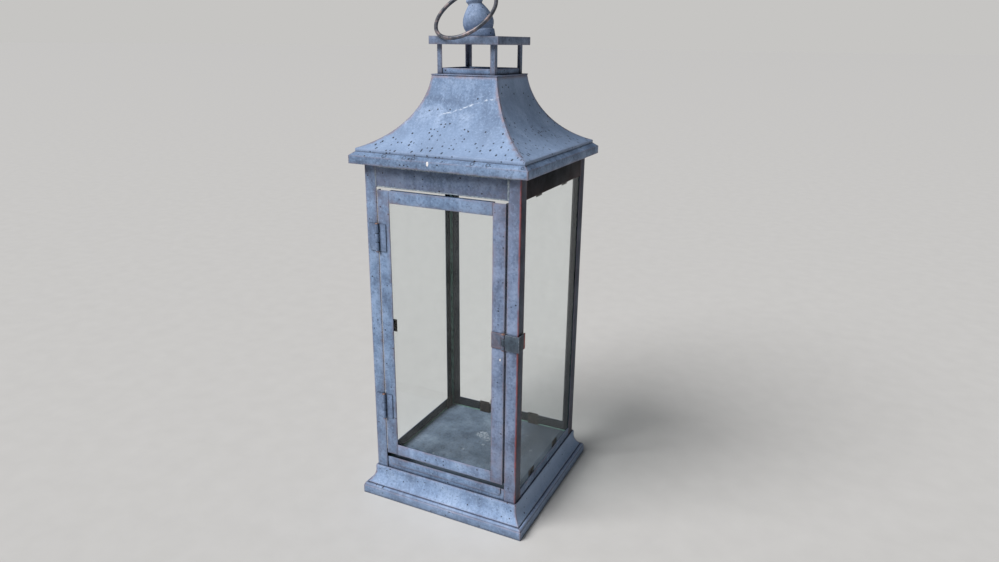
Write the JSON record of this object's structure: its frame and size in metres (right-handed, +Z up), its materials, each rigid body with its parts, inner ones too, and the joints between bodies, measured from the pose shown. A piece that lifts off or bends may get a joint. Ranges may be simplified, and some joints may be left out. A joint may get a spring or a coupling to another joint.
{
  "type": "hanging lantern",
  "caption": "Square sheet-metal candle lantern with flared base, glazed walls, hinged front door with wrap-round latch, concave pagoda roof, open cupola and carrying ring.",
  "frame": {"origin": "centre of the base's underside, on the surface that the lantern stands on", "axes": "+Z up; the door faces -Y; +X is to the right as the door is faced, on the latch side"},
  "size_m": [0.172, 0.172, 0.4795],
  "materials": {
    "patinated_zinc": "weathered blue-grey zinc patina with worn coppery edges",
    "roof_zinc": "weathered blue-grey zinc patina, rain-spotted, with worn coppery hips",
    "hinge_sheet": "weathered zinc patina, darker, with rust at the edges",
    "pin_metal": "tarnished copper-coloured pin",
    "finial_metal": "weathered grey cast metal",
    "ring_wire": "worn bright wire with dark tarnish",
    "floor_sheet": "dull dark grey sheet with whitish marks",
    "tab_sheet": "dark folded strip",
    "glass": "clear, slightly green at the edges, lightly soiled"
  },
  "bodies": {
    "root": {"base_front": "patinated_zinc", "base_right": "patinated_zinc", "base_back": "patinated_zinc", "base_left": "patinated_zinc", "floor_plate": "floor_sheet", "post_front_left": "patinated_zinc", "post_front_right": "patinated_zinc", "post_back_right": "patinated_zinc", "post_back_left": "patinated_zinc", "header_front": "patinated_zinc", "header_right": "patinated_zinc", "header_back": "patinated_zinc", "header_left": "patinated_zinc", "rail_front": "floor_sheet", "rail_right": "patinated_zinc", "rail_back": "patinated_zinc", "rail_left": "patinated_zinc", "sill": "patinated_zinc", "glass_right": "glass", "glass_back": "glass", "glass_left": "glass", "pane_tabs": "tab_sheet", "hinge_lower_post_leaf": "hinge_sheet", "hinge_lower_pin": "pin_metal", "hinge_upper_post_leaf": "hinge_sheet", "hinge_upper_pin": "pin_metal", "eave_front": "patinated_zinc", "eave_right": "patinated_zinc", "eave_back": "patinated_zinc", "eave_left": "patinated_zinc", "roof_front": "roof_zinc", "roof_right": "roof_zinc", "roof_back": "roof_zinc", "roof_left": "roof_zinc", "roof_top_plate": "roof_zinc", "cupola_base": "patinated_zinc", "cupola_post_front_left": "patinated_zinc", "cupola_post_front_right": "patinated_zinc", "cupola_post_back_right": "patinated_zinc", "cupola_post_back_left": "patinated_zinc", "cupola_cap": "patinated_zinc", "finial": "finial_metal"},
    "door": {"door_stile_left": "patinated_zinc", "door_stile_right": "patinated_zinc", "door_rail_top": "patinated_zinc", "door_rail_bottom": "patinated_zinc", "door_glass": "glass", "door_tabs": "tab_sheet", "hinge_lower_door_leaf": "hinge_sheet", "hinge_upper_door_leaf": "hinge_sheet", "latch_plate": "hinge_sheet", "latch_pin": "pin_metal"},
    "latch": {"latch_flap": "hinge_sheet"},
    "ring": {"carry_ring": "ring_wire"}
  },
  "joints": [
    {"name": "door_hinge", "type": "hinge", "parent": "root", "child": "door", "pos_m": [-0.06345, -0.0769, 0], "axis": [0, 0, -1], "range_deg": [0, 170]},
    {"name": "latch_hinge", "type": "hinge", "parent": "door", "child": "latch", "pos_m": [0.0619, -0.0769, 0.1879], "axis": [0, 0, -1], "range_deg": [0, 150]},
    {"name": "ring_swing", "type": "hinge", "parent": "root", "child": "ring", "pos_m": [-0.00754, 0, 0.47254], "axis": [-0.9799, 0, -0.1994], "range_deg": [0, 266]}
  ]
}
